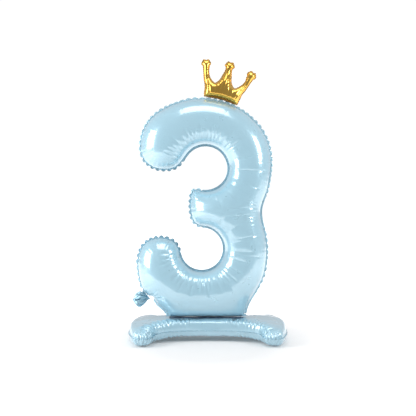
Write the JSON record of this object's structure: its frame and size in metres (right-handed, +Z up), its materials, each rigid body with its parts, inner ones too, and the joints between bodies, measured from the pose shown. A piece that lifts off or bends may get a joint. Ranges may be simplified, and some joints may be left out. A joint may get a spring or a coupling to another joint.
{
  "type": "foil number balloon",
  "caption": "Air-filled standing foil balloon shaped as the numeral 3 on a four-footed inflated base, with a small gold foil crown on top.",
  "frame": {"origin": "under the middle of the object, on the surface that the four feet stand on", "axes": "+Z up, +X to the viewer's right, the front of the numeral faces -Y"},
  "size_m": [0.4788, 0.2917, 0.835],
  "materials": {
    "blue_foil": "pearl light blue metallised foil",
    "blue_rim": "welded foil rim, darker and crimped",
    "gold_foil": "mirror gold metallised foil",
    "clear_film": "clear thin film"
  },
  "bodies": {
    "base": {"base_upper_sheet": "blue_foil", "base_lower_sheet": "blue_foil", "base_edge_seam": "blue_rim", "neck_weld_front": "blue_rim", "neck_weld_back": "blue_rim"},
    "digit": {"digit_front_sheet": "blue_foil", "digit_back_sheet": "blue_foil", "digit_edge_seam": "blue_rim", "digit_edge_seam_short": "blue_rim", "valve_film_front": "clear_film", "valve_film_back": "clear_film", "neck_air_duct": "clear_film", "crown_tape_tab_left": "clear_film", "crown_tape_tab_right": "clear_film"},
    "crown": {"crown_front_sheet": "gold_foil", "crown_back_sheet": "gold_foil", "crown_edge_seam": "gold_foil", "crown_filling_tail": "gold_foil"},
    "filling_tail": {"filling_tail_neck": "blue_rim", "filling_tail_bunch": "blue_foil"}
  },
  "joints": [
    {"name": "digit_sway", "type": "hinge", "parent": "base", "child": "digit", "pos_m": [-0.005, 0, 0.067], "axis": [1, 0, 0], "range_deg": [-5, 5], "stiffness_Nm_per_rad": 0.9},
    {"name": "crown_rock", "type": "hinge", "parent": "digit", "child": "crown", "pos_m": [0.0381, 0.0015, 0.7139], "axis": [0.9659, 0, -0.2588], "range_deg": [-8, 12], "stiffness_Nm_per_rad": 0.03},
    {"name": "tail_swing", "type": "hinge", "parent": "digit", "child": "filling_tail", "pos_m": [-0.176, 0, 0.124], "axis": [0, 0, -1], "range_deg": [-20, 20]}
  ]
}
